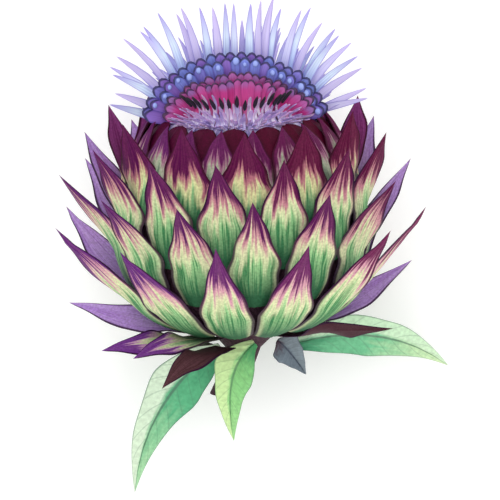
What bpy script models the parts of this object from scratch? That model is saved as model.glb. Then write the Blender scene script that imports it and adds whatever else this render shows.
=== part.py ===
"""Globe artichoke in flower, lying on its side with the flower towards +Y.

The head is a solid heart with rings of bracts around it, each ring on its own
shell over the ring above. The head's own frame has its axis along Y, from the
stem to the flower, and Z towards the side that faces up. Lengths are in
millimetres until a mesh is made.
"""
import bpy
import bmesh
import numpy as np
from math import cos, pi, radians, sin
from mathutils import Matrix, Vector

MM = 0.001

# The head's place. Its centre is the middle of the heart. The flower end is
# raised, because the bracts' tips and the leaves hold the head off the surface.
HEAD_CENTRE = Vector((-4.9, 7.8, 58.3))
AXIS_RISE = radians(12)
AXIS_LEAN = radians(2)

# The heart, a round body: its radius, how far its curve would reach above and
# below its middle before it closes, and where it is cut flat.
HEART_RADIUS = 45.0
REACH_UP = 66.0
REACH_DOWN = 41.0
CURVE_UP = 1.6
CURVE_DOWN = 2.6
CURVE_ROUND = 0.4545
HEART_TOP = 34.0
HEART_BOTTOM = -40.5
HEART_SIDES = 32

# The stub of stem, which leans to the left of the head's axis.
STUB_RADIUS = 6.4
STUB_PATH = ((0, -40.5, 0), (-1, -47, 0), (-4, -56, -0.5), (-8, -65, -1))

# Bracts. Each leaves the heart with a small gap and climbs away from it, so
# that the ring below passes over it without touching. Its end bends outwards.
GAP = 0.4
CLIMB = 0.19
FLARE_START = 0.36
SIDE_REACH = 0.45
LEFT_REACH = 0.14
UNDERSIDE_WIDTH = 0.3
TWIST = 42
TURN_OVER = 12
TURNS_BETWEEN = (0.38, 0.78)
TIP_CLEARANCE = 0.7
CROWDING = 0.17
NEIGHBOUR_GAP = radians(0.8)
EDGE_THICKNESS = 0.35
FOOT_WIDTH = 0.72
WIDEST_AT = 0.42
TIP_TAPER = 1.1
TIP_FULLNESS = 0.55
THINNING = 0.62
STATIONS = (0.0, 0.14, 0.3, 0.45, 0.6, 0.75, 0.88)
OUTER_STEPS = (-1.0, -0.5, 0.0, 0.5, 1.0)
INNER_STEPS = (0.6, 0.0, -0.6)

RINGS = (
    dict(name="crown_bract", count=10, first=3, foot=8, length=35, width=11.2,
         thick=1.8, flare=7, colour="5A1430"),
    dict(name="upper_bract", count=11, first=-10, foot=-7, length=39, width=10.6,
         thick=1.9, flare=10, colour="7E2A4A"),
    dict(name="middle_bract", count=11, first=6, foot=-21, length=40, width=10.8,
         thick=1.9, flare=13, colour="8A4A6A"),
    dict(name="lower_bract", count=10, first=-11, foot=-36, length=48, width=10.8,
         thick=1.9, flare=13, colour="8CB070"),
)

# The lowest bracts stand nearly straight out from the head: azimuth, length,
# half-width, how far the bract keeps to a straight line (0 to 1), its flare,
# its twist, and the gap below it, which lets neighbours cross.
BASE_FOOT = -39.6
BASE_ROOM = radians(20)
BASE_TURNS_BETWEEN = (0.3, 0.6)
BASE_BRACTS = (
    (-100, 50, 8.0, 0.5, 9, -45, 0.8),
    (-75, 38, 8.0, 0.7, 7, -40, 3.8),
    (-54, 36, 7.5, 0.8, 7, -34, 0.8),
    (-32, 42, 6.6, 0.92, 10, -34, 4.2),
    (66, 40, 8.2, 0.5, 10, -46, 0.8),
    (113, 52, 8.0, 0.34, 10, 34, 1.4),
    (160, 48, 7.5, 0.3, 10, 0, 0.5),
    (-146, 48, 7.5, 0.3, 10, 0, 0.5),
)

# The ring of inner bracts around the heart's shoulder: how far its outside
# stands off the heart's curve, its foot and its rim, and the inside of its rim.
INNER_THICKNESS = 2.0
INNER_FOOT = 23.0
INNER_RIM = 45.5
INNER_OPENING = 30.2

# Florets: a dome on the heart's flat top, cut into three slices by planes that
# tilt towards the side that faces up: each slice's reach, its planes and colour.
FLORET_FOOT = 34.5
NECK_RADIUS = 29.2
NECK_HEIGHT = 48.0
FLORET_DROOP = radians(17.5)
DOME_LIFT = 3.0
DOME_STEPS = 7
FLORET_SLICES = (
    ("ray_florets", 52.0, -90, 3, "A9B8E4"),
    ("violet_florets", 38.0, 4, 18, "6F62B4"),
    ("magenta_florets", 30.5, 19, 90, "B63E82"),
)

# Leaves: points along the midrib, half-width, where it is widest, how far the
# blade is rolled to its right, colour.
LEAF_THICKNESS = 1.2
LEAF_EDGE_LIFT = 0.1
LEAF_STEPS = 10
LEAVES = (
    dict(name="leaf_left", rib=((-13, -38.5, 54), (-24, -44, 51), (-44.5, -64, 30), (-47, -96, 1)),
         width=10.2, widest=0.42, roll=-12, colour="5FA87C"),
    dict(name="leaf_centre", rib=((0, -36.6, 61), (-10, -44, 66), (-11, -58, 54), (-8, -75, 30)),
         width=8.0, widest=0.35, roll=8, colour="8FC78A"),
    dict(name="leaf_right", rib=((10, -38.5, 43), (32, -31, 45), (56, -31, 32), (76, -46, 1)),
         width=8.2, widest=0.5, roll=14, colour="5FA87C"),
    dict(name="leaf_small", rib=((9, -35.5, 54), (12, -38, 52), (16, -43, 47), (20, -49, 38)),
         width=6.2, widest=0.3, roll=0, colour="6B7A80"),
)


def clear_scene():
    for thing in list(bpy.data.objects):
        bpy.data.objects.remove(thing, do_unlink=True)


def finish(name, colour, roughness):
    """A plain material from an sRGB colour."""
    channels = [int(colour[i:i + 2], 16) / 255 for i in (0, 2, 4)]
    linear = [c / 12.92 if c <= 0.04045 else ((c + 0.055) / 1.055) ** 2.4 for c in channels]
    material = bpy.data.materials.new(name)
    material.use_nodes = True
    shader = material.node_tree.nodes["Principled BSDF"]
    shader.inputs["Base Color"].default_value = (*linear, 1)
    shader.inputs["Roughness"].default_value = roughness
    shader.inputs["Metallic"].default_value = 0
    return material


def add_object(name, mesh, material, parent=None):
    mesh.materials.append(material)
    mesh.shade_smooth()
    mesh.set_sharp_from_angle(angle=radians(40))
    part = bpy.data.objects.new(name, mesh)
    part.parent = parent
    bpy.context.collection.objects.link(part)
    return part


def loft(name, sections, point=None, ring=False):
    """A closed skin through sections of equal length, in millimetres.

    It ends in flat caps, or in a point after the last section, or it closes
    on itself as a ring.
    """
    bm = bmesh.new()
    loops = [[bm.verts.new(p * MM) for p in section] for section in sections]
    pairs = list(zip(loops, loops[1:]))
    if ring:
        pairs.append((loops[-1], loops[0]))
    for low, high in pairs:
        for i in range(len(low)):
            j = (i + 1) % len(low)
            bm.faces.new((low[i], low[j], high[j], high[i]))
    if not ring:
        bm.faces.new(loops[0][::-1])
        last = loops[-1]
        if point is None:
            bm.faces.new(last)
        else:
            end = bm.verts.new(point * MM)
            for i in range(len(last)):
                bm.faces.new((last[i], last[(i + 1) % len(last)], end))
    bmesh.ops.triangulate(bm, faces=bm.faces)
    bmesh.ops.recalc_face_normals(bm, faces=bm.faces)
    mesh = bpy.data.meshes.new(name)
    bm.to_mesh(mesh)
    bm.free()
    return mesh


def circle(radius, height, sides):
    """A level circle around the head's axis."""
    turns = [2 * pi * i / sides for i in range(sides)]
    return [Vector((radius * sin(a), height, radius * cos(a))) for a in turns]


def bed_radius(height):
    """Radius of the heart's curve, which goes on above its flat top."""
    up = height > 0
    share = abs(height) / (REACH_UP if up else REACH_DOWN)
    return HEART_RADIUS * (1 - share ** (CURVE_UP if up else CURVE_DOWN)) ** CURVE_ROUND


def bed_table():
    """Heights, radii and running length along the heart's curve."""
    heights = np.linspace(HEART_BOTTOM, 62, 1200)
    radii = np.array([bed_radius(h) for h in heights])
    steps = np.hypot(np.diff(heights), np.diff(radii))
    return heights, radii, np.concatenate(([0], np.cumsum(steps)))


BED = bed_table()


def bed_point(travel):
    """Place (radius, height) and outward direction at a length along the curve."""
    heights, radii, lengths = BED
    place, before, after = (
        np.array((np.interp(t, lengths, radii), np.interp(t, lengths, heights)))
        for t in (travel, travel - 0.5, travel + 0.5)
    )
    along = (after - before) / np.linalg.norm(after - before)
    return place, np.array((along[1], -along[0])), along


def bract_guide(bract, share):
    """Place and outward direction of a bract's inner face along its middle."""
    start = np.interp(bract["foot"], BED[0], BED[2])
    travel = bract["length"] * share
    place, outward, _ = bed_point(start + travel)
    foot, foot_outward, foot_along = bed_point(start)
    straight = bract["straight"]
    place = place * (1 - straight) + (foot + foot_along * travel) * straight
    outward = outward * (1 - straight) + foot_outward * straight
    outward = outward / np.linalg.norm(outward)
    bend = max(0, (share - FLARE_START) / (1 - FLARE_START)) ** 2
    return place + outward * (bract["gap"] + CLIMB * travel), outward, bend


def in_head(azimuth, place):
    """The head-frame point at an azimuth; azimuth 0 faces up."""
    return Vector((place[0] * sin(azimuth), place[1], place[0] * cos(azimuth)))


def head_matrix():
    turn = Matrix.Rotation(AXIS_LEAN, 4, "Z") @ Matrix.Rotation(AXIS_RISE, 4, "X")
    return Matrix.Translation(HEAD_CENTRE) @ turn


def resting_flare(bract):
    """The bract's flare, less where its tip would pass through the surface."""
    place, outward, _ = bract_guide(bract, 1)
    start = head_matrix() @ in_head(bract["azimuth"], place)
    end = head_matrix() @ in_head(bract["azimuth"], place + outward * bract["flare"])
    if end.z >= TIP_CLEARANCE:
        return bract["flare"]
    return bract["flare"] * (start.z - TIP_CLEARANCE) / (start.z - end.z)


def width_share(share):
    """Half-width along a bract: wide below its middle, drawn out to a point."""
    if share < WIDEST_AT:
        return FOOT_WIDTH + (1 - FOOT_WIDTH) * sin(pi / 2 * share / WIDEST_AT)
    rest = (share - WIDEST_AT) / (1 - WIDEST_AT)
    return (1 - rest) ** TIP_TAPER * (1 + TIP_FULLNESS * rest)


def bract_section(bract, share, flare):
    place, outward, bend = bract_guide(bract, share)
    place = place + outward * flare * bend
    half_angle = min(bract["width"] * width_share(share) / place[0], bract["room"])
    middle = bract["thick"] * (1 - THINNING * share)
    section = []
    for across in OUTER_STEPS:
        depth = EDGE_THICKNESS + (middle - EDGE_THICKNESS) * (1 - across ** 2)
        azimuth = bract["azimuth"] + across * half_angle
        section.append(in_head(azimuth, place + outward * depth))
    for across in INNER_STEPS:
        azimuth = bract["azimuth"] + across * half_angle
        section.append(in_head(azimuth, place))
    centre = in_head(bract["azimuth"], place)
    along = in_head(bract["azimuth"], (-outward[1], outward[0]))
    start, full = bract["turns"]
    progress = max(0, min(1, (share - start) / (full - start)))
    turn = Matrix.Rotation(radians(bract["twist"]) * progress, 3, along)
    return [centre + turn @ (point - centre) for point in section]


def side_twist(azimuth):
    """How far a bract turns around its own middle, from its waist to its tip.

    Bracts at the sides turn their outer face up, and those behind them turn
    their inner face up.
    """
    return -TWIST * sin(azimuth) * max(-1, min(1, TURN_OVER * cos(azimuth)))


def add_bract(name, bract, material, head):
    flare = resting_flare(bract)
    sections = [bract_section(bract, share, flare) for share in STATIONS]
    place, outward, bend = bract_guide(bract, 1)
    tip = in_head(bract["azimuth"], place + outward * (flare * bend + EDGE_THICKNESS))
    add_object(name, loft(name, sections, tip), material, head)


def add_ring(ring, head):
    material = finish(ring["name"], ring["colour"], 0.55)
    for index in range(ring["count"]):
        even = radians(ring["first"] + 360 * index / ring["count"])
        azimuth = even - CROWDING * sin(even)
        bract = dict(ring, azimuth=azimuth, straight=0, gap=GAP, twist=side_twist(azimuth))
        bract["turns"] = TURNS_BETWEEN
        bract["room"] = (1 - CROWDING * cos(even)) * pi / ring["count"] - NEIGHBOUR_GAP
        bract["width"] *= 1 + UNDERSIDE_WIDTH * (1 - cos(azimuth)) / 2
        bract["flare"] *= 1 + SIDE_REACH * sin(azimuth) ** 2 - LEFT_REACH * sin(azimuth)
        add_bract(f"{ring['name']}_{index + 1:02d}", bract, material, head)


def add_base_bracts(head):
    material = finish("base_bract", "6A2F5A", 0.55)
    for index, (azimuth, length, width, straight, flare, twist, gap) in enumerate(BASE_BRACTS):
        bract = dict(azimuth=radians(azimuth), length=length, width=width, foot=BASE_FOOT,
                     straight=straight, thick=1.3, flare=flare, twist=twist, gap=gap,
                     room=BASE_ROOM, turns=BASE_TURNS_BETWEEN)
        add_bract(f"base_bract_{index + 1:02d}", bract, material, head)


def add_heart(head):
    """The heart and the stub, one skin from the cut end to the flat top."""
    sections = []
    for x, y, z in STUB_PATH[:0:-1]:
        level = circle(STUB_RADIUS, 0, HEART_SIDES)
        sections.append([p + Vector((x, y, z)) for p in level])
    heights = [HEART_BOTTOM + 0.6, -38, -34, -27, -17, -5, 8, 20, 28, HEART_TOP]
    sections += [circle(bed_radius(h), h, HEART_SIDES) for h in heights]
    material = finish("heart_and_stem", "6E4A4E", 0.7)
    add_object("heart_and_stem", loft("heart_and_stem", sections), material, head)


def inner_ring_outline():
    """Radius and height around the ring's cut face."""
    middle = (HEART_TOP + INNER_RIM) / 2
    outside = [(bed_radius(h) + INNER_THICKNESS, h) for h in (INNER_FOOT + 1, 30, 36, middle)]
    inside = [(INNER_OPENING, HEART_TOP + GAP), (bed_radius(HEART_TOP) + GAP, HEART_TOP + GAP)]
    foot = [(bed_radius(h) + GAP, h) for h in (30, INNER_FOOT)]
    rim = [(bed_radius(44) + INNER_THICKNESS, 44), (32, INNER_RIM), (INNER_OPENING, 44.5)]
    return outside + rim + inside + foot


def add_inner_ring(head):
    turns = [2 * pi * i / HEART_SIDES for i in range(HEART_SIDES)]
    sections = [[in_head(a, place) for place in inner_ring_outline()] for a in turns]
    material = finish("inner_bracts", "4C1028", 0.55)
    add_object("inner_bracts", loft("inner_bracts", sections, ring=True), material, head)


def dome_outline(reach):
    """Radius and height up a dome of florets, from its foot to its top."""
    outline = [(NECK_RADIUS - 1.5, FLORET_FOOT), (NECK_RADIUS, NECK_HEIGHT - 3)]
    for step in range(DOME_STEPS):
        angle = FLORET_DROOP + (pi / 2 - FLORET_DROOP) * step / DOME_STEPS
        height = FLORET_FOOT + DOME_LIFT + reach * sin(angle)
        outline.append((reach * cos(angle), height))
    return [(r, h) for r, h in outline if r <= NECK_RADIUS or h > NECK_HEIGHT]


def slice_between(mesh, low, high):
    """Keep the part of a dome between two planes through its foot."""
    bm = bmesh.new()
    bm.from_mesh(mesh)
    foot = Vector((0, FLORET_FOOT - 0.2, 0)) * MM
    for angle, side in ((low, -1), (high, 1)):
        if abs(angle) == 90:
            continue
        tilt = radians(angle)
        normal = Vector((0, -sin(tilt), cos(tilt))) * side
        everything = bm.verts[:] + bm.edges[:] + bm.faces[:]
        cut = bmesh.ops.bisect_plane(bm, geom=everything, plane_co=foot, plane_no=normal,
                                     clear_outer=True, dist=1e-7)
        edges = [e for e in cut["geom_cut"] if isinstance(e, bmesh.types.BMEdge)]
        bmesh.ops.holes_fill(bm, edges=edges, sides=0)
    bmesh.ops.triangulate(bm, faces=bm.faces)
    bmesh.ops.recalc_face_normals(bm, faces=bm.faces)
    bm.to_mesh(mesh)
    bm.free()


def add_florets(head):
    for name, reach, low, high, colour in FLORET_SLICES:
        sections = [circle(r, h, HEART_SIDES) for r, h in dome_outline(reach)]
        top = Vector((0, FLORET_FOOT + DOME_LIFT + reach, 0))
        mesh = loft(name, sections, top)
        slice_between(mesh, low, high)
        add_object(name, mesh, finish(name, colour, 0.6), head)


def curve_through(points, share):
    """A cubic Bezier curve's place and direction."""
    a, b, c, d = (Vector(p) for p in points)
    rest = 1 - share
    place = a * rest ** 3 + b * 3 * rest ** 2 * share + c * 3 * rest * share ** 2 + d * share ** 3
    along = (b - a) * 3 * rest ** 2 + (c - b) * 6 * rest * share + (d - c) * 3 * share ** 2
    return place, along.normalized()


def leaf_width(share, widest):
    """Half-width along a leaf: a narrow foot, a broad middle and a fine tip."""
    if share < widest:
        return 0.22 + 0.78 * sin(pi / 2 * share / widest) ** 1.3
    rest = (share - widest) / (1 - widest)
    return (1 - rest ** 1.7) * (1 - 0.25 * rest)


def leaf_section(leaf, share):
    place, along = curve_through(leaf["rib"], share)
    side = along.cross(Vector((0, 0, 1))).normalized()
    side = Matrix.Rotation(radians(leaf["roll"]), 3, along) @ side
    up = side.cross(along)
    half = leaf["width"] * leaf_width(share, leaf["widest"])
    section = []
    for across in OUTER_STEPS:
        depth = LEAF_THICKNESS * (1 - 0.6 * across ** 2)
        lift = LEAF_EDGE_LIFT * half * across ** 2
        section.append(place + side * across * half + up * (lift + depth / 2))
    for across in OUTER_STEPS[::-1]:
        depth = LEAF_THICKNESS * (1 - 0.6 * across ** 2)
        lift = LEAF_EDGE_LIFT * half * across ** 2
        section.append(place + side * across * half + up * (lift - depth / 2))
    return section


def add_leaf(leaf):
    sections = [leaf_section(leaf, i / LEAF_STEPS) for i in range(LEAF_STEPS)]
    tip, _ = curve_through(leaf["rib"], 1)
    material = finish(leaf["name"], leaf["colour"], 0.5)
    add_object(leaf["name"], loft(leaf["name"], sections, tip), material)


def build():
    clear_scene()
    head = bpy.data.objects.new("head", None)
    head.matrix_world = head_matrix()
    head.location *= MM
    bpy.context.collection.objects.link(head)
    add_heart(head)
    add_inner_ring(head)
    for ring in RINGS:
        add_ring(ring, head)
    add_base_bracts(head)
    add_florets(head)
    for leaf in LEAVES:
        add_leaf(leaf)


build()
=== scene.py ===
"""Looks of a globe artichoke in flower that lies on its side, flower towards +Y.

Lengths are in millimetres in the head's own frame, whose Y axis runs from the
stem to the flower and whose Z faces up, until a piece gets its place.
"""
import random
import bpy
import bmesh
import numpy as np
from math import acos, cos, pi, radians, sin
from mathutils import Matrix, Vector


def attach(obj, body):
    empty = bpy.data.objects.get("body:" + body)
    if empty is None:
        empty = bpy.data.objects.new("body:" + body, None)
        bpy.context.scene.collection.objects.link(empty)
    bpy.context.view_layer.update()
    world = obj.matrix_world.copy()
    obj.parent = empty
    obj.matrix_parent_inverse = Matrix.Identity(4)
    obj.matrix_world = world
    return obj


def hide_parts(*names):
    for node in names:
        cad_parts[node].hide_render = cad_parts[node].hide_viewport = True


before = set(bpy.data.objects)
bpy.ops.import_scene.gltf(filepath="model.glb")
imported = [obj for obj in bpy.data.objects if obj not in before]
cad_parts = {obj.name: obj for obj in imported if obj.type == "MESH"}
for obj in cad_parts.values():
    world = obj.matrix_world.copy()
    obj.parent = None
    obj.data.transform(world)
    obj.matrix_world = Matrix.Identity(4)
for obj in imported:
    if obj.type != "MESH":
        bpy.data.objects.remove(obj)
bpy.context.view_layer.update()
bpy.ops.object.select_all(action="DESELECT")

MM = 0.001
SURFACE_LIFT = 0.4    # how far the lowest points stay above the surface

# The head: the same numbers as in the part, because each piece lies on them.
HEAD_CENTRE = Vector((-4.9, 7.8, 58.3))
AXIS_RISE = radians(12)
AXIS_LEAN = radians(2)
HEAD = (Matrix.Translation(HEAD_CENTRE) @ Matrix.Rotation(AXIS_LEAN, 4, "Z")
        @ Matrix.Rotation(AXIS_RISE, 4, "X"))
HEART_RADIUS = 45.0
REACH_UP, REACH_DOWN = 66.0, 41.0
CURVE_UP, CURVE_DOWN, CURVE_ROUND = 1.6, 2.6, 0.4545
HEART_TOP, HEART_BOTTOM = 34.0, -40.5
HEART_LEVELS = (HEART_BOTTOM + 0.6, -38, -34, -27, -17, -5, 8, 20, 28, HEART_TOP)
CURVE_END = 62.0
STUB_RADIUS = 6.4
STUB_SWELLS = (1.04, 0.97, 1.05)
STUB_PATH = ((0, -40.5, 0), (-1, -47, 0), (-4, -56, -0.5), (-8, -65, -1))

# Bracts. Shares and places along a bract run from 0 at its foot to 1 at its tip.
GAP = 0.4
CLIMB = 0.19
FLARE_START = 0.36
SIDE_REACH, LEFT_REACH = 0.45, 0.14
UNDERSIDE_WIDTH = 0.3
TWIST = 42
TURN_OVER = 12
TURNS_BETWEEN = (0.38, 0.78)
TIP_CLEARANCE = 0.7
CROWDING = 0.17
NEIGHBOUR_GAP = radians(0.8)
EDGE_THICKNESS = 0.35
FOOT_WIDTH, WIDEST_AT = 0.72, 0.42
TIP_TAPER, TIP_FULLNESS = 1.1, 0.55
THINNING = 0.62

# Finer shape of a bract than the part has: wavy edges, ribs, a keel near the
# tip and a hook at it, and how far one bract may differ from the next.
WAVE, WAVES_ALONG = 0.065, 19
RIB_HEIGHT, RIBS = 0.16, 6
KEEL_HEIGHT, KEEL_WIDTH, KEEL_START = 0.5, 0.16, 0.45
HOOK_START = 0.62
HOOK_CHANCE, HOOK_LEAN = 1.8, 1.6
SHUT_AT_TIP = 0.05
NARROWEST, SHORTEST = 0.93, 0.94
TWIST_CHANCE = 5
LINED_UNTIL = 0.98

RINGS = (
    dict(name="crown_bract", slot="maroon_bract", count=10, first=3, foot=8, length=35,
         width=11.2, thick=1.8, flare=7),
    dict(name="upper_bract", slot="crimson_bract", count=11, first=-10, foot=-7, length=39,
         width=10.6, thick=1.9, flare=10),
    dict(name="middle_bract", slot="rose_bract", count=11, first=6, foot=-21, length=40,
         width=10.8, thick=1.9, flare=13),
    dict(name="lower_bract", slot="green_bract", count=10, first=-11, foot=-36, length=48,
         width=10.8, thick=1.9, flare=13),
)
BASE_FOOT = -39.6
BASE_ROOM = radians(20)
BASE_TURNS_BETWEEN = (0.3, 0.6)
BASE_THICKNESS = 1.3
BASE_HOOK = 1.5
# The fourth base bract (index 3) is dark brown as a painted shadow where the head shades the left
# leaf.
BROWN_ONES = (3, 4, 6)
UNLINED_ONES = (1, 2)
# Azimuth, length, width, how straight, flare, twist and gap to the heart.
BASE_BRACTS = (
    (-100, 50, 8.0, 0.5, 9, -45, 0.8),
    (-75, 38, 8.0, 0.7, 7, -40, 3.8),
    (-54, 36, 7.5, 0.8, 7, -34, 0.8),
    (-32, 42, 6.6, 0.92, 10, -34, 4.2),
    (66, 40, 8.2, 0.5, 10, -46, 0.8),
    (113, 52, 8.0, 0.34, 10, 34, 1.4),
    (160, 48, 7.5, 0.3, 10, 0, 0.5),
    (-146, 48, 7.5, 0.3, 10, 0, 0.5),
)
# Two close rows of inner lobes around the florets' neck.
INNER_LOBES = (
    dict(name="inner_bracts_mauve", count=18, first=8.0, foot=16, length=30.5, width=8.4,
         gap=1.9, thick=1.3, flare=-1.5),
    dict(name="inner_bracts_maroon", count=16, first=19.0, foot=18, length=30.5, width=7.4,
         gap=0.5, thick=1.3, flare=-4),
)
LOBE_CLIMB = 0.02
LOBE_HOOK = 1.4
LOBE_ROOM = 0.98
HOOD_START = 0.55

# Florets: straps that leave the heart's top, bend out over its rim and fan out.
FLORET_HEART = np.array((0.0, 37.5, 0.0))
BED_TOP = np.array((0.0, 36.0, 0.0))
BED_EDGE, FILAMENT_EDGE, RIM_EDGE = 27.0, 28.2, 31.5
FOOT_RISE, FOOT_SPREAD = 9.0, 1.5
PULL_AT = 0.55
CUPPING = 0.12
RAY_WIDEST, SPOON_END, THREAD_END = 0.66, 0.935, 0.9
VIOLET_LIMIT = 38.5

# Angles in degrees: fan is measured across the flower from its axis, rise is
# towards the up side, and lean is from the axis all around. Reaches in mm.
# Rays: fan and reach of the front fan, then rise, count and reach behind it.
# Straps: rise, count, reach and width. Filaments: lean, count, reach and spread.
RAY_REACH = ((0, 50.5), (22, 53.5), (37, 55.5), (50, 57.0), (58, 56.0), (73, 51.5), (82, 50))
BACK_RAYS = ((-24, 20, 43), (-36, 18, 45), (-48, 16, 46), (-58, 12, 46), (-67, 9, 45))
VIOLET_ROWS = ((13, 21, 31.6, 4.3), (7, 22, 32.9, 4.4))
BEADED_RISE, BEADED_SHARE = 13, 0.8
BEAD_RADIUS, BEAD_INSET, BEAD_LIFT = (0.8, 1.45), (2.0, 3.2), 1.0
BEAD_SHAPE = (0.92, 1.16, 0.85)
MAGENTA_ROWS = ((22, 22, 27.6, 3.7), (30, 21, 27.0, 3.5))
RIM_LEAN = 75
FILAMENT_ROWS = ((46, 9, 25.5, 62), (54, 20, 26.5, 80), (62, 38, 28, 92), (68, 44, 29, 100),
                 (73, 46, 29.5, 104), (RIM_LEAN, 84, 31.5, 178))

LEAVES = (
    dict(name="leaf_left", rib=((-13, -38.5, 54), (-24, -44, 51), (-44.5, -64, 30), (-47, -96, 1)),
         width=10.2, widest=0.42, roll=-12, slot="green_leaf"),
    dict(name="leaf_centre", rib=((0, -36.6, 61), (-10, -44, 66), (-11, -58, 54), (-8, -75, 30)),
         width=8.0, widest=0.35, roll=8, slot="light_leaf"),
    dict(name="leaf_right", rib=((10, -38.5, 43), (32, -31, 45), (56, -31, 32), (76, -46, 1)),
         width=8.2, widest=0.5, roll=14, slot="green_leaf"),
    dict(name="leaf_small", rib=((9, -35.5, 54), (12, -38, 52), (16, -43, 47), (20, -49, 38)),
         width=6.2, widest=0.3, roll=0, slot="grey_leaf"),
)
LEAF_THICKNESS = 1.2
LEAF_EDGE_LIFT = 0.1
SIDE_VEINS = 62.0     # a side vein at each tenth of the leaf's length
VEIN_LEAN = 0.14

# The studio: the camera is far above with a long lens, so the view is nearly parallel.
CAMERA_PLACE = (-0.0018, -0.0007, 3.27)
LENS, SENSOR = 600, 36
LAMPS = (("key", (-0.5, 0.6, 1.4), 1.8, 7.0), ("fill", (0.9, -0.6, 1.2), 1.8, 4.0))
FLOOR_SIZE = 6
FLOOR_GLOW = 0.12

dice = random.Random(11)


# ---------------- materials

def linear(code):
    """A linear colour from an sRGB hex value."""
    channels = [int(code[i:i + 2], 16) / 255 for i in (0, 2, 4)]
    return [c / 12.92 if c <= 0.04045 else ((c + 0.055) / 1.055) ** 2.4 for c in channels] + [1]


# A Mix node that mixes colours, and its sockets by place, because their names repeat.
COLOURS = dict(out=2, data_type="RGBA")
SHARE, FROM, TO = 0, 6, 7


def add(tree, kind, inputs=None, out=0, **settings):
    """Adds a node, sets or links its inputs, and returns one of its outputs."""
    made = tree.nodes.new("ShaderNode" + kind)
    for key, value in settings.items():
        setattr(made, key, value)
    for key, value in (inputs or {}).items():
        if isinstance(value, bpy.types.NodeSocket):
            tree.links.new(value, made.inputs[key])
        else:
            made.inputs[key].default_value = linear(value) if isinstance(value, str) else value
    return made.outputs[out]


def new_finish(name, roughness, specular=0.18):
    """A new material, its node tree and its shader; specular is low on matt plant skin."""
    material = bpy.data.materials.new(name)
    material.use_nodes = True
    tree = material.node_tree
    shader = tree.nodes["Principled BSDF"]
    shader.inputs["Roughness"].default_value = roughness
    shader.inputs["Specular IOR Level"].default_value = specular
    return material, tree, shader


def streaks(tree, across, along, chance, lines, stretch, detail=2.0):
    """Noise drawn out along a blade: lines across it, stretch along it. The
    blade's chance takes it to a part of the noise of its own."""
    wide = add(tree, "Math", {0: across, 1: lines}, operation="MULTIPLY")
    seeded = add(tree, "Math", {0: chance, 1: 57.0, 2: wide}, operation="MULTIPLY_ADD")
    tall = add(tree, "Math", {0: along, 1: stretch}, operation="MULTIPLY")
    place = add(tree, "CombineXYZ", {0: seeded, 1: tall, 2: chance})
    return add(tree, "TexNoise", {"Vector": place, "Scale": 1.0, "Detail": detail,
                                  "Roughness": 0.6})


def pigment_grain(tree, colour, size=0.9, strength=0.22):
    """Mottles a colour, as pigment and fine hairs do on a bract's skin.

    The real mottle is 0.2 mm across; it is drawn coarser so that it shows."""
    place = add(tree, "TexCoord", out="Object")
    mottle = add(tree, "TexNoise", {"Vector": place, "Scale": 1 / (size * MM), "Detail": 2.0})
    value = add(tree, "MapRange", {"Value": mottle, "From Min": 0.3, "From Max": 0.7,
                                   "To Min": 1 - strength, "To Max": 1 + strength * 0.6})
    return add(tree, "HueSaturation", {"Value": value, "Color": colour})


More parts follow.
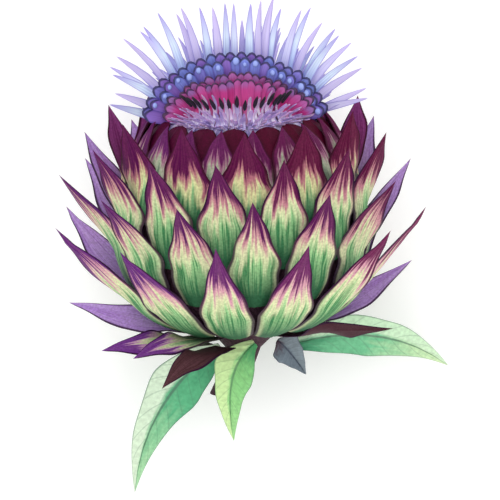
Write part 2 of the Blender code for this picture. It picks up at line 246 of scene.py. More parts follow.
def bract_finish(name, reach, tips, blush, cream, greens, lining, edge="2E1030"):
    """Thistle bract, a leathery leaf with a wax bloom: streaked green below, darkened at its foot by
    painted shade, cream at its margins, a blush, and a dark tip that runs down in fingers.
    Its inner face is lilac. reach is where the tip colour starts."""
    material, tree, shader = new_finish(name, 0.55, 0.07)
    across, along, chance, warmth, inside = (
        add(tree, "Attribute", out="Fac", attribute_name=name)
        for name in ("across", "along", "chance", "warmth", "inside"))
    off_middle = add(tree, "Math", {0: across}, operation="ABSOLUTE")
    squared = add(tree, "Math", {0: across, 1: across}, operation="MULTIPLY")
    broad = streaks(tree, across, along, chance, lines=4.2, stretch=1.3, detail=3.0)
    fine = streaks(tree, across, along, chance, lines=13.0, stretch=1.8)
    # How far up the bract a point counts for its colours.
    fingered = add(tree, "Math", {0: broad, 1: 0.95, 2: along}, operation="MULTIPLY_ADD")
    fingered = add(tree, "Math", {0: squared, 1: 0.15, 2: fingered}, operation="MULTIPLY_ADD")
    level = add(tree, "Math", {0: fingered, 1: 0.5}, operation="SUBTRACT")
    # Green, darker in fine lines; the darker foot is painted shade where the bracts overlap.
    lines = add(tree, "MapRange", {"Value": fine, "From Min": 0.43, "From Max": 0.57})
    green = add(tree, "Mix", {SHARE: lines, FROM: greens[1], TO: greens[0]}, **COLOURS)
    foot = add(tree, "MapRange", {"Value": along, "From Min": 0.12, "From Max": 0.5})
    colour = add(tree, "Mix", {SHARE: foot, FROM: greens[2], TO: green}, **COLOURS)
    rim = add(tree, "MapRange", {"Value": off_middle, "From Min": 0.62, "From Max": 0.88,
                                 "To Max": 0.5}, interpolation_type="SMOOTHSTEP")
    for low, high, paint in ((reach - 0.32, reach - 0.1, cream), (reach - 0.13, reach, blush)):
        mask = add(tree, "MapRange", {"Value": level, "From Min": low, "From Max": high,
                                      "To Max": 0.9}, interpolation_type="SMOOTHSTEP")
        if paint is cream:
            mask = add(tree, "Math", {0: mask, 1: rim}, operation="MAXIMUM")
        colour = add(tree, "Mix", {SHARE: mask, FROM: colour, TO: paint}, **COLOURS)
    tip = add(tree, "Mix", {SHARE: warmth, FROM: tips[0], TO: tips[1]}, **COLOURS)
    tip_light = add(tree, "Mix", {SHARE: 0.12, FROM: tip, TO: blush}, **COLOURS)
    tip = add(tree, "Mix", {SHARE: lines, FROM: tip, TO: tip_light}, **COLOURS)
    mask = add(tree, "MapRange", {"Value": level, "From Min": reach, "From Max": reach + 0.09},
               interpolation_type="SMOOTHSTEP")
    colour = add(tree, "Mix", {SHARE: mask, FROM: colour, TO: tip}, **COLOURS)
    # The lilac inner face.
    pale = add(tree, "MapRange", {"Value": fine, "From Min": 0.35, "From Max": 0.65})
    inner = add(tree, "Mix", {SHARE: pale, FROM: lining[0], TO: lining[1]}, **COLOURS)
    colour = add(tree, "Mix", {SHARE: inside, FROM: colour, TO: inner}, **COLOURS)
    # A dark margin, as fine as a pen line.
    ragged = add(tree, "Math", {0: fine, 1: 0.09, 2: off_middle}, operation="MULTIPLY_ADD")
    margin = add(tree, "MapRange", {"Value": ragged, "From Min": 0.87, "From Max": 0.98,
                                    "To Max": 0.92}, interpolation_type="SMOOTHSTEP")
    colour = add(tree, "Mix", {SHARE: margin, FROM: colour, TO: edge}, **COLOURS)
    tree.links.new(pigment_grain(tree, colour), shader.inputs["Base Color"])
    bump = add(tree, "Bump", {"Height": fine, "Strength": 0.35, "Distance": 0.4 * MM})
    tree.links.new(bump, shader.inputs["Normal"])
    return material


def petal_finish(name, stops, edge, edge_strength, roughness=0.45, shifts=("FFFFFF", 0.0),
                 end=None):
    """Floret skin, thin and silky, with fine veins along it: stops are (place,
    colour) pairs from its foot to its tip; edge is the colour of its margin,
    shifts the colour that some florets lean to and how far, and end the colour
    of the fine dark line around a round end."""
    material, tree, shader = new_finish(name, roughness, 0.3)
    across, along, chance = (add(tree, "Attribute", out="Fac", attribute_name=name)
                             for name in ("across", "along", "chance"))
    fine = streaks(tree, across, along, chance, lines=5.0, stretch=1.6)
    colour = stops[0][1]
    for (low, _), (high, paint) in zip(stops, stops[1:]):
        spread = add(tree, "Math", {0: fine, 1: 0.12, 2: along}, operation="MULTIPLY_ADD")
        mask = add(tree, "MapRange", {"Value": spread, "From Min": low + 0.06,
                                      "From Max": high + 0.06})
        colour = add(tree, "Mix", {SHARE: mask, FROM: colour, TO: paint}, **COLOURS)
    picked = add(tree, "MapRange", {"Value": chance, "From Min": 0.35, "From Max": 0.8,
                                    "To Max": shifts[1]})
    colour = add(tree, "Mix", {SHARE: picked, FROM: colour, TO: shifts[0]}, **COLOURS)
    veins = add(tree, "MapRange", {"Value": fine, "From Min": 0.35, "From Max": 0.65,
                                   "To Min": 0.88, "To Max": 1.1})
    colour = add(tree, "HueSaturation", {"Value": veins, "Color": colour})
    off_middle = add(tree, "Math", {0: across}, operation="ABSOLUTE")
    margin = add(tree, "MapRange", {"Value": off_middle, "From Min": 0.62, "From Max": 0.98,
                                    "To Max": edge_strength}, interpolation_type="SMOOTHSTEP")
    colour = add(tree, "Mix", {SHARE: margin, FROM: colour, TO: edge}, **COLOURS)
    if end:
        squared = add(tree, "Math", {0: across, 1: across}, operation="MULTIPLY")
        rounded = add(tree, "Math", {0: squared, 1: 0.045, 2: along}, operation="MULTIPLY_ADD")
        line = add(tree, "MapRange", {"Value": rounded, "From Min": 0.972, "From Max": 0.986,
                                      "To Max": 0.9})
        colour = add(tree, "Mix", {SHARE: line, FROM: colour, TO: end}, **COLOURS)
    tree.links.new(colour, shader.inputs["Base Color"])
    bump = add(tree, "Bump", {"Height": fine, "Strength": 0.2, "Distance": 0.2 * MM})
    tree.links.new(bump, shader.inputs["Normal"])
    return material


def leaf_finish(name, foot, body, tip, band, vein, band_side=-1):
    """Artichoke leaf, soft and felted: a pale band down one side of the midrib,
    side veins, and a paler tip."""
    material, tree, shader = new_finish(name, 0.6)
    across, along, chance = (add(tree, "Attribute", out="Fac", attribute_name=name)
                             for name in ("across", "along", "chance"))
    fine = streaks(tree, across, along, chance, lines=5.0, stretch=7.0, detail=4.0)
    washed = add(tree, "Math", {0: fine, 1: 0.5, 2: along}, operation="MULTIPLY_ADD")
    mask = add(tree, "MapRange", {"Value": washed, "From Min": 0.32, "From Max": 0.6})
    colour = add(tree, "Mix", {SHARE: mask, FROM: foot, TO: body}, **COLOURS)
    mask = add(tree, "MapRange", {"Value": washed, "From Min": 0.75, "From Max": 1.2})
    colour = add(tree, "Mix", {SHARE: mask, FROM: colour, TO: tip}, **COLOURS)
    sided = add(tree, "Math", {0: across, 1: band_side}, operation="MULTIPLY")
    rough = add(tree, "Math", {0: fine, 1: 0.45, 2: sided}, operation="MULTIPLY_ADD")
    mask = add(tree, "MapRange", {"Value": rough, "From Min": 0.22, "From Max": 0.5,
                                  "To Max": 0.85}, interpolation_type="SMOOTHSTEP")
    colour = add(tree, "Mix", {SHARE: mask, FROM: colour, TO: band}, **COLOURS)
    # Side veins leave the midrib and lean towards the tip.
    off_middle = add(tree, "Math", {0: across}, operation="ABSOLUTE")
    leaned = add(tree, "Math", {0: off_middle, 1: -VEIN_LEAN, 2: along}, operation="MULTIPLY_ADD")
    waves = add(tree, "Math", {0: leaned, 1: SIDE_VEINS}, operation="MULTIPLY")
    waves = add(tree, "Math", {0: waves}, operation="SINE")
    side_veins = add(tree, "MapRange", {"Value": waves, "From Min": 0.9, "From Max": 1.0,
                                        "To Max": 0.3})
    midrib = add(tree, "MapRange", {"Value": off_middle, "From Min": 0.035, "From Max": 0.075,
                                    "To Min": 0.8, "To Max": 0.0})
    margin = add(tree, "MapRange", {"Value": off_middle, "From Min": 0.93, "From Max": 0.99,
                                    "To Max": 0.8})
    marks = add(tree, "Math", {0: side_veins, 1: midrib}, operation="MAXIMUM")
    marks = add(tree, "Math", {0: marks, 1: margin}, operation="MAXIMUM")
    colour = add(tree, "Mix", {SHARE: marks, FROM: colour, TO: vein}, **COLOURS)
    tree.links.new(pigment_grain(tree, colour, size=1.6, strength=0.14), shader.inputs["Base Color"])
    bump = add(tree, "Bump", {"Height": fine, "Strength": 0.3, "Distance": 0.4 * MM})
    tree.links.new(bump, shader.inputs["Normal"])
    return material


def stem_finish(name, dark, light, size):
    """Cut stem, ribbed and fibrous, or its pale pith."""
    material, tree, shader = new_finish(name, 0.75)
    place = add(tree, "TexCoord", out="Object")
    drawn = add(tree, "Mapping", {"Vector": place, "Scale": (1, 0.15, 1)})
    fibre = add(tree, "TexNoise", {"Vector": drawn, "Scale": 1 / (size * MM), "Detail": 4.0})
    mask = add(tree, "MapRange", {"Value": fibre, "From Min": 0.35, "From Max": 0.65})
    colour = add(tree, "Mix", {SHARE: mask, FROM: dark, TO: light}, **COLOURS)
    tree.links.new(pigment_grain(tree, colour), shader.inputs["Base Color"])
    bump = add(tree, "Bump", {"Height": fibre, "Strength": 0.6, "Distance": 0.6 * MM})
    tree.links.new(bump, shader.inputs["Normal"])
    return material


# ---------------- blades

def blade_blank(name, columns, rows):
    """A closed slab: X runs -1 to 1 across, Y 0 to 1 along, Z 0 to 1 inner to outer."""
    bpy.ops.object.select_all(action="DESELECT")
    bpy.ops.mesh.primitive_grid_add(x_subdivisions=columns, y_subdivisions=rows, size=1,
                                    location=(0, 0, 0))
    blank = bpy.context.object
    blank.name = name
    bpy.ops.object.mode_set(mode="EDIT")
    bpy.ops.mesh.select_all(action="SELECT")
    bpy.ops.transform.resize(value=(2, 1, 1), center_override=(0, 0, 0))
    bpy.ops.transform.translate(value=(0, 0.5, 0))
    bpy.ops.mesh.extrude_region_move(TRANSFORM_OT_translate={"value": (0, 0, 1)})
    bpy.ops.mesh.select_all(action="SELECT")
    bpy.ops.mesh.normals_make_consistent(inside=False)
    bpy.ops.object.mode_set(mode="OBJECT")
    return blank


def blank_grid(blank):
    """A blank's vertices as across, along and side arrays."""
    co = np.zeros(len(blank.data.vertices) * 3)
    blank.data.vertices.foreach_get("co", co)
    co = co.reshape(-1, 3)
    return co[:, 0], co[:, 1], co[:, 2]


def shape_copy(blank, name, points, **values):
    """A copy of a blank with its vertices at points, in metres, and its attributes."""
    piece = blank.copy()
    piece.data = blank.data.copy()
    piece.name = piece.data.name = name
    bpy.context.collection.objects.link(piece)
    piece.data.vertices.foreach_set("co", np.asarray(points, np.float64).ravel())
    count = len(piece.data.vertices)
    for key, value in values.items():
        layer = piece.data.attributes.new(key, "FLOAT", "POINT")
        layer.data.foreach_set("value", np.broadcast_to(value, count).astype(np.float32))
    return piece


def close_up(piece, material, smooth=50):
    """Merges what meets, turns the faces outward and shades the piece smooth."""
    bm = bmesh.new()
    bm.from_mesh(piece.data)
    bmesh.ops.remove_doubles(bm, verts=bm.verts, dist=0.00001)
    bmesh.ops.dissolve_degenerate(bm, edges=bm.edges, dist=0.000005)
    bmesh.ops.recalc_face_normals(bm, faces=bm.faces)
    bm.to_mesh(piece.data)
    bm.free()
    piece.data.materials.clear()
    piece.data.materials.append(material)
    bpy.ops.object.select_all(action="DESELECT")
    bpy.context.view_layer.objects.active = piece
    piece.select_set(True)
    bpy.ops.object.shade_smooth_by_angle(angle=radians(smooth))
    piece.select_set(False)


def join(pieces, name):
    """The pieces as one object."""
    bpy.ops.object.select_all(action="DESELECT")
    for piece in pieces:
        piece.select_set(True)
    bpy.context.view_layer.objects.active = pieces[0]
    bpy.ops.object.join()
    whole = bpy.context.object
    whole.name = whole.data.name = name
    whole.select_set(False)
    return whole


def settle(piece, slot, *nodes):
    """The piece stands for those CAD nodes and rides on the artichoke's one body."""
    if nodes:
        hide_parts(*nodes)
    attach(piece, "root")


def to_world(points):
    """Head-frame millimetres to the row frame's metres."""
    turn = np.array(HEAD.to_3x3())
    return (points @ turn.T + np.array(HEAD.translation)) * MM


# ---------------- bracts

def bed_radius(height):
    """The heart's radius at a height along its axis."""
    up = height > 0
    share = np.abs(height) / np.where(up, REACH_UP, REACH_DOWN)
    return HEART_RADIUS * (1 - share ** np.where(up, CURVE_UP, CURVE_DOWN)) ** CURVE_ROUND


BED_HEIGHTS = np.linspace(HEART_BOTTOM, CURVE_END, 1200)
BED_RADII = bed_radius(BED_HEIGHTS)
BED_LENGTHS = np.concatenate(
    ([0], np.cumsum(np.hypot(np.diff(BED_HEIGHTS), np.diff(BED_RADII)))))


def on_bed(travel):
    """Radius and height at a distance along the heart's curve from its foot."""
    return np.stack((np.interp(travel, BED_LENGTHS, BED_RADII),
                     np.interp(travel, BED_LENGTHS, BED_HEIGHTS)), -1)


def bed_point(travel):
    """Place (radius, height), outward and along directions on the heart's curve."""
    along = on_bed(travel + 0.5) - on_bed(travel - 0.5)
    along = along / np.linalg.norm(along, axis=-1, keepdims=True)
    return on_bed(travel), np.stack((along[..., 1], -along[..., 0]), -1), along


def bract_guide(bract, share):
    """Place, outward direction and bend along the middle of a bract's inner face."""
    start = np.interp(bract["foot"], BED_HEIGHTS, BED_LENGTHS)
    travel = (bract["length"] * share)[:, None]
    place, outward, _ = bed_point(start + travel[:, 0])
    foot, foot_outward, foot_along = bed_point(start)
    straight = bract["straight"]
    place = place * (1 - straight) + (foot + foot_along * travel) * straight
    outward = outward * (1 - straight) + foot_outward * straight
    outward = outward / np.linalg.norm(outward, axis=-1, keepdims=True)
    bend = np.clip((share - FLARE_START) / (1 - FLARE_START), 0, None) ** 2
    return place + outward * (bract["gap"] + bract.get("climb", CLIMB) * travel), outward, bend


def in_head(azimuth, place):
    """A (radius, height) place at an azimuth, as a point in the head's frame."""
    return np.stack((place[..., 0] * np.sin(azimuth), place[..., 1],
                     place[..., 0] * np.cos(azimuth)), -1)


def resting_flare(bract):
    """The flare, less where the tip would pass through the surface."""
    place, outward, _ = bract_guide(bract, np.array((1.0,)))
    start, end = (to_world(in_head(bract["azimuth"], p))[0, 2] / MM
                  for p in (place, place + outward * bract["flare"]))
    if end >= TIP_CLEARANCE:
        return bract["flare"]
    return bract["flare"] * (start - TIP_CLEARANCE) / (start - end)


def width_share(share):
    """A bract's half-width: full below its middle, then drawn to a tip."""
    low = FOOT_WIDTH + (1 - FOOT_WIDTH) * np.sin(pi / 2 * share / WIDEST_AT)
    rest = np.clip((share - WIDEST_AT) / (1 - WIDEST_AT), 0, 1)
    return np.where(share < WIDEST_AT, low, (1 - rest) ** TIP_TAPER * (1 + TIP_FULLNESS * rest))


def hood_share(share):
    """A lobe's half-width: nearly even, then a round hooded end."""
    end = np.clip((share - HOOD_START) / (1 - HOOD_START), 0, 1)
    return np.where(share < HOOD_START, 0.8 + 0.36 * share, np.sqrt(1 - end ** 2.6))


def bract_points(bract, across, share, side):
    """Where the vertices of a blank go for one bract, in the head's frame."""
    phase = bract["chance"] * 40
    wave = np.sin(share * WAVES_ALONG + phase + across * 2) * np.clip(share * 3, 0, 1)
    place, outward, bend = bract_guide(bract, share)
    place = place + outward * (resting_flare(bract) * bend)[:, None]
    profile = bract.get("profile", width_share)(share)
    half = bract["width"] * profile * (1 + WAVE * wave)
    half = np.minimum(half / place[:, 0], bract["room"])
    middle = bract["thick"] * (1 - THINNING * share)
    depth = EDGE_THICKNESS + (middle - EDGE_THICKNESS) * (1 - across ** 2)
    ribs = RIB_HEIGHT * np.cos(across * pi * RIBS) * (1 - across ** 2) * np.clip(1.1 - share, 0, 1)
    keel = KEEL_HEIGHT * np.exp(-(across / KEEL_WIDTH) ** 2)
    keel = keel * np.clip((share - KEEL_START) / 0.4, 0, 1)
    depth = (depth + ribs + keel) * side * np.clip((1 - share) / SHUT_AT_TIP, 0, 1)
    hook = bract["hook"] * np.clip((share - HOOK_START) / (1 - HOOK_START), 0, 1) ** 2
    azimuth = bract["azimuth"] + across * half + hook / place[:, 0]
    points = in_head(azimuth, place + outward * depth[:, None])
    # Turn the upper part about the bract's own length, to show its face or its lining.
    middle_line = in_head(bract["azimuth"] + hook / place[:, 0], place)
    axis = in_head(bract["azimuth"], np.stack((-outward[:, 1], outward[:, 0]), -1))
    start, full = bract["turns"]
    angle = radians(bract["twist"]) * np.clip((share - start) / (full - start), 0, 1)
    offset = points - middle_line
    c, s = np.cos(angle)[:, None], np.sin(angle)[:, None]
    dot = np.sum(axis * offset, axis=1, keepdims=True)
    return middle_line + offset * c + np.cross(axis, offset) * s + axis * dot * (1 - c)


def add_bract(blank, grid, name, bract, material):
    """One bract from the blank, kept above the surface that the artichoke lies on."""
    across, share, side = grid
    points = to_world(bract_points(bract, across, share, side))
    points[:, 2] = np.maximum(points[:, 2], SURFACE_LIFT * MM)
    warmth = 0.5 + 0.5 * sin(bract["azimuth"]) + 0.3 * (bract["chance"] - 0.5)
    inside = (1 - side) * (share < LINED_UNTIL) * bract.get("lined", 1)
    piece = shape_copy(blank, name, points, across=across, along=share, inside=inside,
                       chance=bract["chance"], warmth=min(max(warmth, 0), 1))
    close_up(piece, material)
    return piece


def add_rings(blank, finishes):
    """Four staggered rings, closer together on the up side, each bract a little different."""
    grid = blank_grid(blank)
    for ring in RINGS:
        for index in range(ring["count"]):
            even = radians(ring["first"] + 360 * index / ring["count"])
            azimuth = even - CROWDING * sin(even)
            turned = max(-1, min(1, TURN_OVER * cos(azimuth)))
            bract = dict(ring, azimuth=azimuth, straight=0, gap=GAP, turns=TURNS_BETWEEN,
                         twist=-TWIST * sin(azimuth) * turned, chance=dice.random(),
                         hook=dice.uniform(-HOOK_CHANCE, HOOK_CHANCE) + HOOK_LEAN * sin(azimuth))
            bract["room"] = (1 - CROWDING * cos(even)) * pi / ring["count"] - NEIGHBOUR_GAP
            bract["width"] *= 1 + UNDERSIDE_WIDTH * (1 - cos(azimuth)) / 2
            bract["width"] *= dice.uniform(NARROWEST, 1.0)
            bract["length"] *= dice.uniform(SHORTEST, 1.0)
            bract["twist"] += dice.uniform(-TWIST_CHANCE, TWIST_CHANCE)
            bract["flare"] *= 1 + SIDE_REACH * sin(azimuth) ** 2 - LEFT_REACH * sin(azimuth)
            name = f"{ring['name']}_{index + 1:02d}"
            piece = add_bract(blank, grid, f"{name}_skin", bract, finishes[ring["name"]])
            settle(piece, ring["slot"], name)


def add_base_bracts(blank, finishes):
    """The loose bracts at the head's foot; some are dull brown, and the fourth of them is a painted
    shadow: a dark bract where the head's shadow falls on the left leaf.
    """
    grid = blank_grid(blank)
    for index, (azimuth, length, width, straight, flare, twist, gap) in enumerate(BASE_BRACTS):
        bract = dict(azimuth=radians(azimuth), length=length, width=width, foot=BASE_FOOT,
                     straight=straight, thick=BASE_THICKNESS, flare=flare, twist=twist, gap=gap,
                     room=BASE_ROOM, turns=BASE_TURNS_BETWEEN, chance=dice.random(),
                     hook=dice.uniform(-BASE_HOOK, BASE_HOOK), lined=index not in UNLINED_ONES)
        name = f"base_bract_{index + 1:02d}"
        finish = finishes["brown_bract" if index in BROWN_ONES else "base_bract"]
        settle(add_bract(blank, grid, f"{name}_skin", bract, finish), "violet_bract", name)


def add_inner_lobes(blank, finishes):
    """Two close rows around the florets' neck: pointed mauve ones and hooded maroon ones."""
    grid = blank_grid(blank)
    profiles = {"inner_bracts_mauve": width_share, "inner_bracts_maroon": hood_share}
    for row in INNER_LOBES:
        name, count = row["name"], row["count"]
        lobes = []
        for index in range(count):
            azimuth = radians(row["first"] + 360 * index / count)
            bract = dict(row, azimuth=azimuth, straight=0, twist=0, climb=LOBE_CLIMB,
                         profile=profiles[name], turns=TURNS_BETWEEN, room=pi / count * LOBE_ROOM,
                         chance=dice.random(), hook=dice.uniform(-LOBE_HOOK, LOBE_HOOK))
            lobes.append(add_bract(blank, grid, f"{name}_{index}", bract, finishes[name]))
        settle(join(lobes, name), "maroon_bract",
               *(("inner_bracts",) if name == "inner_bracts_mauve" else ()))


# ---------------- florets

def fan_direction(fan, rise):
    """A direction at an angle from the axis to the right, and one towards the up side."""
    return np.array((sin(fan) * cos(rise), cos(fan) * cos(rise), sin(rise)))


def cone_direction(lean, turn):
    """A direction that leans from the axis, at a turn around it from the up side."""
    return np.array((sin(lean) * sin(turn), cos(lean), sin(lean) * cos(turn)))


def fan_row(count, spread, rise, jitter):
    """Evenly spread directions across a fan, a little uneven, as (fan, rise) in degrees."""
    for index in range(count):
        fan = -spread + 2 * spread * index / (count - 1)
        yield fan + dice.uniform(-jitter, jitter), rise + dice.uniform(-1.5, 1.5)


def cone_row(count, spread, lean, jitter):
    """Evenly spread turns around the axis, a little uneven, as (lean, turn) in degrees."""
    for index in range(count):
        turn = -spread + 2 * spread * index / (count - 1)
        yield lean + dice.uniform(-jitter, jitter), turn + dice.uniform(-1.5, 1.5)


def strap_points(grid, direction, length, width, thick, turn, profile, start=0.0,
                 root=BED_EDGE, sway=0.0):
    """A strap from the florets' bed out to its length along a direction."""
    across, along, side = grid
    lean = acos(max(-1, min(1, direction[1])))
    flat = np.array((direction[0], 0, direction[2]))
    flat = flat / max(np.linalg.norm(flat), 1e-6)
    foot = BED_TOP + flat * root * sin(lean) ** 0.8
    tip = FLORET_HEART + direction * length
    rise = foot + np.array((0, FOOT_RISE, 0)) + flat * FOOT_SPREAD
    pull = FLORET_HEART + direction * length * PULL_AT
    t = (start + (1 - start) * along)[:, None]
    u = 1 - t
    line = foot * u ** 3 + rise * 3 * u ** 2 * t + pull * 3 * u * t ** 2 + tip * t ** 3
    run = (rise - foot) * u ** 2 + (pull - rise) * 2 * u * t + (tip - pull) * t ** 2
    run = run / np.linalg.norm(run, axis=1, keepdims=True)
    up = np.array((sin(turn), 0, cos(turn)))
    wide = np.cross(run, up)
    wide = wide / np.linalg.norm(wide, axis=1, keepdims=True)
    up = np.cross(wide, run)
    line = line + wide * (sway * np.sin(along * pi * 0.9))[:, None]
    half = width / 2 * profile(along)
    lift = thick * (side - 0.5) * (1 - 0.75 * across ** 2) * np.clip(profile(along) * 3, 0, 1)
    cup = CUPPING * width * across ** 2 * profile(along)
    return line + wide * (half * across)[:, None] + up * (lift + cup)[:, None]


def lance(along):
    """A ray's half-width: a fine foot, widest past its middle, and a narrow tip."""
    low = 0.4 + 0.6 * np.sin(pi / 2 * along / RAY_WIDEST)
    rest = np.clip((along - RAY_WIDEST) / (1 - RAY_WIDEST), 0, 1)
    return np.where(along < RAY_WIDEST, low, np.cos(pi / 2 * rest) ** 0.66)


def spoon(along):
    """A strap that widens to a round end."""
    wide = 0.3 + 0.7 * np.clip(along / 0.92, 0, 1) ** 1.3
    end = np.clip((along - SPOON_END) / (1 - SPOON_END), 0, 1)
    return wide * np.sqrt(1 - end ** 2)


def spindle(along):
    """An anther's half-width, pointed at both ends."""
    return np.sin(pi * np.clip(along, 0, 1)) ** 0.7


def thread(along):
    """A filament's half-width, even up to its round end."""
    end = np.clip((along - THREAD_END) / (1 - THREAD_END), 0, 1)
    return np.sqrt(1 - end ** 2)


def add_straps(blank, name, straps, material, slot, *nodes):
    """Copies of a blank, one for each dict of strap_points settings, as one piece.

    The rows are closer together near the end, so that it comes out round."""
    across, share, side = blank_grid(blank)
    grid = (across, 1 - (1 - share) ** 1.9, side)
    pieces = []
    for index, strap in enumerate(straps):
        points = to_world(strap_points(grid, **strap))
        pieces.append(shape_copy(blank, f"{name}_{index}", points, across=grid[0], along=grid[1],
                                 chance=dice.random()))
    whole = join(pieces, name)
    close_up(whole, material, 60)
    settle(whole, slot, *nodes)


def ray_settings():
    """Each ray's fan, rise, length, width and turn, from the front fan to the back."""
    for fan, rise in fan_row(count=29, spread=77, rise=-5, jitter=2.0):
        length = np.interp(abs(fan), *zip(*RAY_REACH)) * dice.uniform(0.94, 1.025)
        yield fan, rise, length, dice.uniform(3.0, 3.9), 22
    for fan, rise in fan_row(count=24, spread=76, rise=-13, jitter=2.0):
        yield fan, rise, dice.uniform(38, 46), dice.uniform(2.5, 3.2), 28
    for rise, count, length in BACK_RAYS:
        for fan, tilt in fan_row(count, 74 - max(0, -rise - 30) * 0.9, rise, 2.5):
            yield fan, tilt, length * dice.uniform(0.9, 1.05), dice.uniform(2.3, 3.0), 50


def add_rays(blank, finish):
    """The pale rays; the front fan is longest at ten and two o'clock."""
    rays = list(ray_settings())
    add_straps(blank, "ray_petals", [
        dict(direction=fan_direction(radians(fan), radians(rise)), length=length, width=width,
             thick=0.55, turn=radians(dice.uniform(-turn, turn)), profile=lance,
             sway=dice.uniform(-1.5, 1.5))
        for fan, rise, length, width, turn in rays
    ], finish, "pale_ray", "ray_florets")


def add_violet_straps(blank, finishes):
    """Violet straps with round ends, and the pearly pollen heads near the ends."""
    violet, beads = [], []
    for rise, count, length, width in VIOLET_ROWS:
        for fan, tilt in fan_row(count, 74, rise, jitter=0.8):
            side = 0.16 if fan < 0 else 0.08
            reach = length * (1 + side * (fan / 60) ** 2) * dice.uniform(0.98, 1.02)
            reach = min(reach, VIOLET_LIMIT)
            violet.append((fan, tilt, reach, width * (1 + 0.2 * (fan / 74) ** 2)))
            if rise == BEADED_RISE and dice.random() < BEADED_SHARE:
                beads.append((fan, tilt, reach))
    add_straps(blank, "violet_straps", [
        dict(direction=fan_direction(radians(fan), radians(rise)), length=length, width=width,
             thick=0.7, turn=radians(dice.uniform(-10, 10)), profile=spoon)
        for fan, rise, length, width in violet
    ], finishes["violet"], "violet_floret", "violet_florets")
    add_beads(beads, finishes["pearl"])


def add_magenta_straps(blank, finish):
    """Magenta straps: the near row is whole to its foot, the far one shows its ends."""
    magenta = []
    for rise, count, length, width in MAGENTA_ROWS:
        for fan, tilt in fan_row(count, 72, rise, jitter=1.2):
            bowed = min((fan / 62) ** 2, 1)
            magenta.append((fan, tilt - (rise - 16) * bowed,
                            (length + 5.5 * bowed) * dice.uniform(0.96, 1.03), width))
    add_straps(blank, "magenta_straps", [
        dict(direction=fan_direction(radians(fan), radians(rise)), length=length, width=width,
             thick=0.7, turn=radians(dice.uniform(-12, 12)), profile=spoon)
        for fan, rise, length, width in magenta
    ], finish, "magenta_floret", "magenta_florets")


def add_anthers(blank, finish):
    """Dark anthers, the ends of a few straps on the up side."""
    add_straps(blank, "anthers", [
        dict(direction=cone_direction(radians(lean), radians(turn)),
             length=31.0 * dice.uniform(0.95, 1.03), width=1.6, thick=1.4,
             turn=radians(turn * 0.6), profile=spindle, start=0.74)
        for lean, turn in cone_row(count=15, spread=60, lean=54, jitter=1.5)
    ], finish, "magenta_floret")


def add_filaments(blank, finish):
    """Pale filaments in front of the magenta straps, the last row all around the rim."""
    filaments = []
    for lean, count, length, spread in FILAMENT_ROWS:
        root = RIM_EDGE if lean == RIM_LEAN else FILAMENT_EDGE
        for tilt, turn in cone_row(count, spread, lean, 2.0):
            filaments.append(dict(direction=cone_direction(radians(tilt), radians(turn)),
                                  length=length * dice.uniform(0.92, 1.04),
                                  width=dice.uniform(0.9, 1.7), thick=0.5,
                                  turn=radians(turn * 0.8), profile=thread, root=root))
    add_straps(blank, "filaments", filaments, finish, "magenta_floret")


def add_florets(finishes):
    """The flower: every kind of strap, shaped from two blanks."""
    long_blank = blade_blank("long_blank", 2, 9)
    broad_blank = blade_blank("broad_blank", 4, 12)
    add_rays(long_blank, finishes["ray"])
    add_violet_straps(broad_blank, finishes)
    add_magenta_straps(broad_blank, finishes["magenta"])
    add_anthers(broad_blank, finishes["anther"])
    add_filaments(long_blank, finishes["filament"])
    for blank in (long_blank, broad_blank):
        bpy.data.objects.remove(blank, do_unlink=True)


def add_beads(beads, material):
    """Pollen heads, each a small egg-shaped pearl on the face of a violet strap."""
    pieces = []
    for fan, rise, reach in beads:
        direction = fan_direction(radians(fan), radians(rise))
        place = FLORET_HEART + direction * (reach - dice.uniform(*BEAD_INSET))
        place = to_world(place[None] + np.array((0, 0, BEAD_LIFT)))[0]
        bpy.ops.mesh.primitive_ico_sphere_add(subdivisions=2, location=place,
                                              radius=dice.uniform(*BEAD_RADIUS) * MM)
        bpy.ops.object.mode_set(mode="EDIT")
        bpy.ops.mesh.select_all(action="SELECT")
        bpy.ops.transform.resize(value=BEAD_SHAPE, center_override=place)
        bpy.ops.object.mode_set(mode="OBJECT")
        pieces.append(bpy.context.object)
    whole = join(pieces, "pollen_heads")
    bpy.ops.object.select_all(action="DESELECT")
    whole.select_set(True)
    bpy.ops.object.transform_apply(location=True, rotation=True, scale=True)
    close_up(whole, material, 60)
    settle(whole, "violet_floret")


# ---------------- leaves

